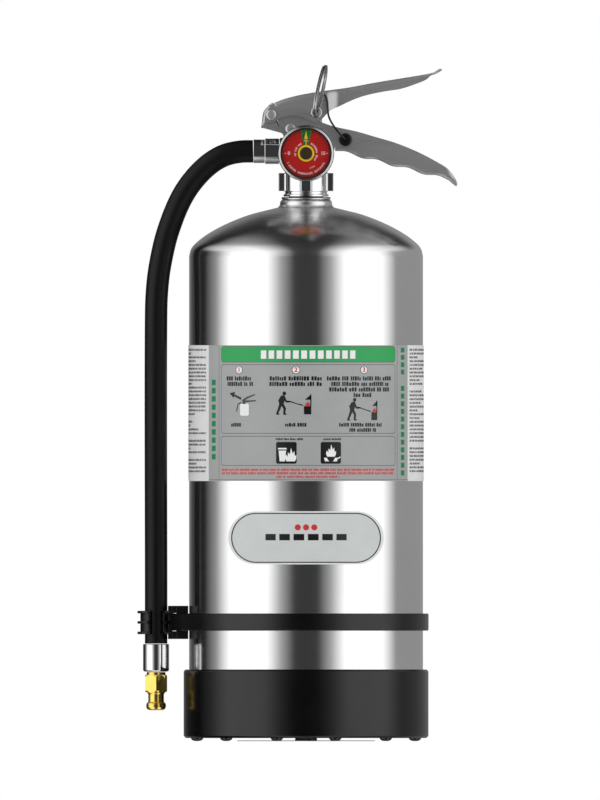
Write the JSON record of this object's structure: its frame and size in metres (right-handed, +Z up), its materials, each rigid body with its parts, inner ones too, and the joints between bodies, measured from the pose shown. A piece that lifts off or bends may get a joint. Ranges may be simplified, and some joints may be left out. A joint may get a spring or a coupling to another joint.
{
  "type": "fire extinguisher",
  "caption": "Stored-pressure wet-chemical fire extinguisher: stainless cylinder, squeeze lever, carry handle, gauge, side hose with nozzle, black base boot.",
  "frame": {"origin": "centre of the base boot's underside, on the cylinder's axis, at floor level", "axes": "+Z up along the cylinder; the gauge faces -Y, the lever and handle point to +X, the hose hangs on the -X side"},
  "size_m": [0.2325, 0.1782, 0.492],
  "materials": {
    "polished_steel": "polished stainless with faint circumferential grain",
    "turned_steel": "turned and drawn stainless",
    "sheet_steel": "satin pressed stainless sheet",
    "boot_plastic": "semi-gloss black moulded",
    "strap_rubber": "satin black",
    "clip_plastic": "black moulded",
    "valve_chrome": "chrome plate over machined brass",
    "bezel_chrome": "bright rolled rim",
    "seal_rubber": "black elastomer",
    "raw_brass": "machined",
    "nozzle_brass": "dull machined brass",
    "dip_tube_plastic": "natural extruded tube",
    "tie_plastic": "thin black tie",
    "lens": "clear",
    "dial_paint": "printed red dial with a green sector",
    "pointer_paint": "yellow",
    "hub_cap": "dark brown",
    "hose_rubber": "smooth black",
    "instruction_print": "printed film, green heading bar, grey panels",
    "badge_print": "printed film, pale with a dark outline"
  },
  "bodies": {
    "vessel": {"cylinder_shell": "polished_steel", "neck_collar": "turned_steel", "base_boot": "boot_plastic", "hose_strap": "strap_rubber", "hose_clip": "clip_plastic", "valve_body": "valve_chrome", "collar_o_ring": "seal_rubber", "stem_o_ring": "seal_rubber", "valve_spring": "turned_steel", "dip_tube_holder": "raw_brass", "dip_tube": "dip_tube_plastic", "carry_handle": "sheet_steel", "lever_pivot_rivet": "turned_steel", "handle_rivet_front": "turned_steel", "handle_rivet_rear": "turned_steel", "seal_grommet": "clip_plastic", "tamper_seal_tie": "tie_plastic", "gauge_stem": "raw_brass", "gauge_case": "valve_chrome", "gauge_bezel": "bezel_chrome", "gauge_lens_gasket": "seal_rubber", "gauge_lens": "lens", "gauge_dial": "dial_paint", "gauge_bourdon_tube": "raw_brass", "instruction_label": "instruction_print", "badge_label": "badge_print"},
    "lever": {"operating_lever": "sheet_steel"},
    "stem": {"valve_stem": "turned_steel", "stem_seal": "seal_rubber"},
    "pin": {"pull_pin": "turned_steel"},
    "ring": {"pull_ring": "turned_steel"},
    "pointer": {"gauge_pointer": "pointer_paint", "gauge_hub_cap": "hub_cap"},
    "hose_assembly": {"hose": "hose_rubber", "hose_inlet_ferrule": "valve_chrome", "hose_inlet_coupling": "valve_chrome", "nozzle_ferrule": "valve_chrome", "nozzle": "nozzle_brass", "nozzle_spray_insert": "turned_steel"}
  },
  "joints": [
    {"name": "lever_pivot", "type": "hinge", "parent": "vessel", "child": "lever", "pos_m": [-0.0254, 0, 0.4554], "axis": [0, 1, 0], "range_deg": [0, 10], "stiffness_Nm_per_rad": 8, "springref_deg": -11.46, "deforming": ["tamper_seal_tie"]},
    {"name": "stem_slide", "type": "slide", "parent": "vessel", "child": "stem", "axis": [0, 0, -1], "range_m": [0, 0.0048], "deforming": ["valve_spring"]},
    {"name": "pin_pull", "type": "slide", "parent": "lever", "child": "pin", "axis": [0, -1, 0], "range_m": [0, 0.045], "deforming": ["tamper_seal_tie"]},
    {"name": "ring_swing", "type": "hinge", "parent": "pin", "child": "ring", "pos_m": [0.00759, -0.032, 0.45703], "axis": [0, 1, 0], "range_deg": [-20, 125], "deforming": ["tamper_seal_tie"]},
    {"name": "gauge_needle", "type": "hinge", "parent": "vessel", "child": "pointer", "pos_m": [0, -0.035, 0.4273], "axis": [0, 1, 0], "range_deg": [-90, 90], "stiffness_Nm_per_rad": 0.001},
    {"name": "hose_swing", "type": "hinge", "parent": "vessel", "child": "hose_assembly", "pos_m": [-0.03, 0, 0.4288], "axis": [1, 0, 0], "range_deg": [-90, 0], "deforming": ["hose_clip"]}
  ],
  "couplings": [
    {"joint": "stem_slide", "follows": "lever_pivot", "m_per_rad": 0.0266}
  ]
}
